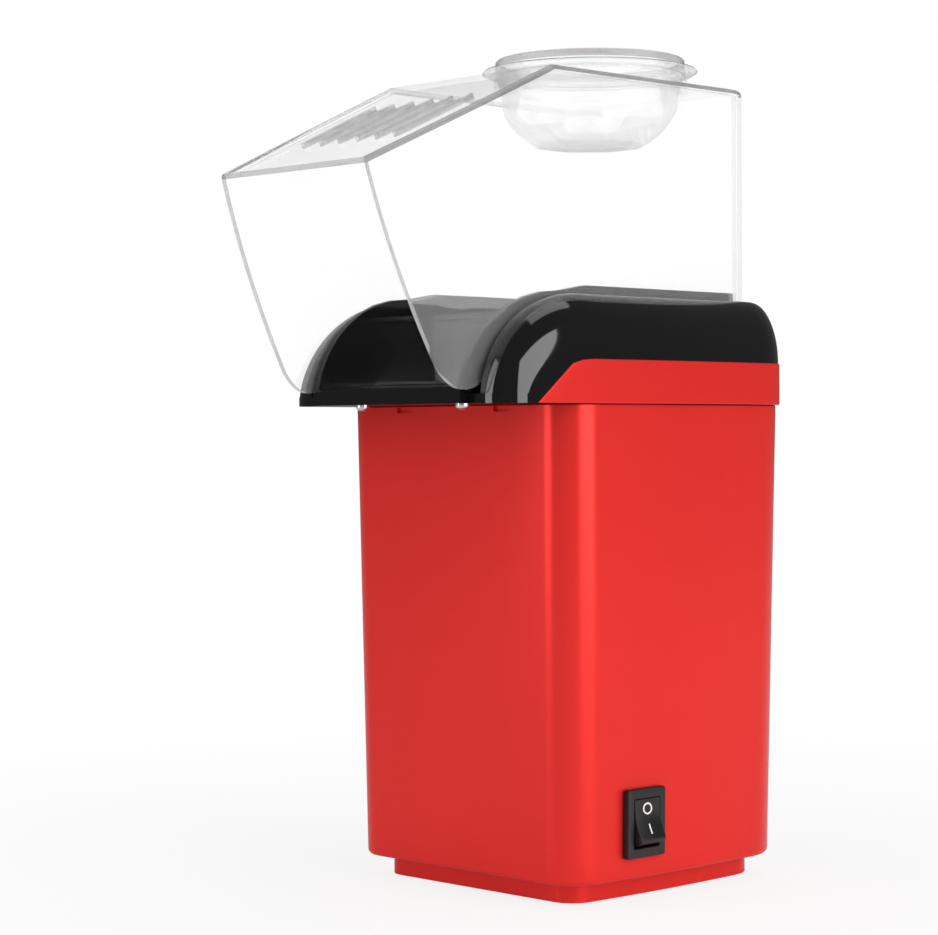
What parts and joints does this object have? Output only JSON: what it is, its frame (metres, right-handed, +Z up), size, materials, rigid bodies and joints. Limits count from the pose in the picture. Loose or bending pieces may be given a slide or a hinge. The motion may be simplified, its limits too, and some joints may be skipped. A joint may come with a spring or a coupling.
{
  "type": "popcorn maker",
  "caption": "Hot-air popcorn maker with a red body, a black spout, a clear lift-off cover and a measuring cup in its top.",
  "frame": {"origin": "centre of the base on the table, under the middle of the body", "axes": "+Z up, -Y towards the open end of the spout, +X towards the side with the switch"},
  "size_m": [0.1113, 0.1744, 0.2674],
  "materials": {
    "red_body": "gloss",
    "foot_rubber": "matte",
    "screw_steel": "bright",
    "black_gloss": "gloss",
    "chamber_aluminium": "satin",
    "gasket_fibre": "matte",
    "duct_sheet": "satin",
    "fan_plastic": "matte",
    "heater_wire": "dull",
    "mica": "matte",
    "nut_brass": "bright",
    "shaft_steel": "bright",
    "motor_steel": "satin",
    "board_green": "matte",
    "thermostat_case": "satin",
    "fuse_case": "satin",
    "switch_black": "matte",
    "rocker_black": "satin",
    "gland_rubber": "matte",
    "wire_brown": "satin",
    "wire_white": "matte",
    "wire_red": "satin",
    "clear_plastic": "clear"
  },
  "bodies": {
    "body": {"body_shell": "red_body", "base_plate": "red_body", "rubber_feet": "foot_rubber", "base_screws": "screw_steel", "collar_trim": "red_body", "upper_housing": "black_gloss", "chute_liner": "black_gloss", "housing_screws": "screw_steel", "spout_screws": "screw_steel", "popping_chamber": "chamber_aluminium", "chamber_gasket": "gasket_fibre", "air_duct": "duct_sheet", "fan_housing": "fan_plastic", "duct_screws": "screw_steel", "heater_coil": "heater_wire", "mica_frame": "mica", "motor_can": "motor_steel", "motor_screws": "screw_steel", "rectifier_board": "board_green", "thermostat": "thermostat_case", "thermal_fuse": "fuse_case", "switch_frame": "switch_black", "switch_terminals": "nut_brass", "cord_gland": "gland_rubber", "supply_wires": "wire_brown", "heater_wires": "wire_white", "motor_wires": "wire_red"},
    "fan": {"motor_shaft": "shaft_steel", "fan_impeller": "fan_plastic", "fan_nut": "nut_brass"},
    "rocker": {"switch_rocker": "rocker_black"},
    "cover": {"clear_cover": "clear_plastic"},
    "cup": {"measuring_cup": "clear_plastic"}
  },
  "joints": [
    {"name": "fan_spin", "type": "hinge", "parent": "body", "child": "fan", "pos_m": [0, 0.008, 0.075], "axis": [0, 0, 1], "continuous": true},
    {"name": "rocker_press", "type": "hinge", "parent": "body", "child": "rocker", "pos_m": [0.05167, -0.0225, 0.02479], "axis": [0, 1, 0], "range_deg": [0, 30]},
    {"name": "cover_lift", "type": "slide", "parent": "body", "child": "cover", "axis": [0, 0, 1], "range_m": [0, 0.06]},
    {"name": "cup_lift", "type": "slide", "parent": "cover", "child": "cup", "axis": [0, 0, 1], "range_m": [0, 0.05]}
  ]
}
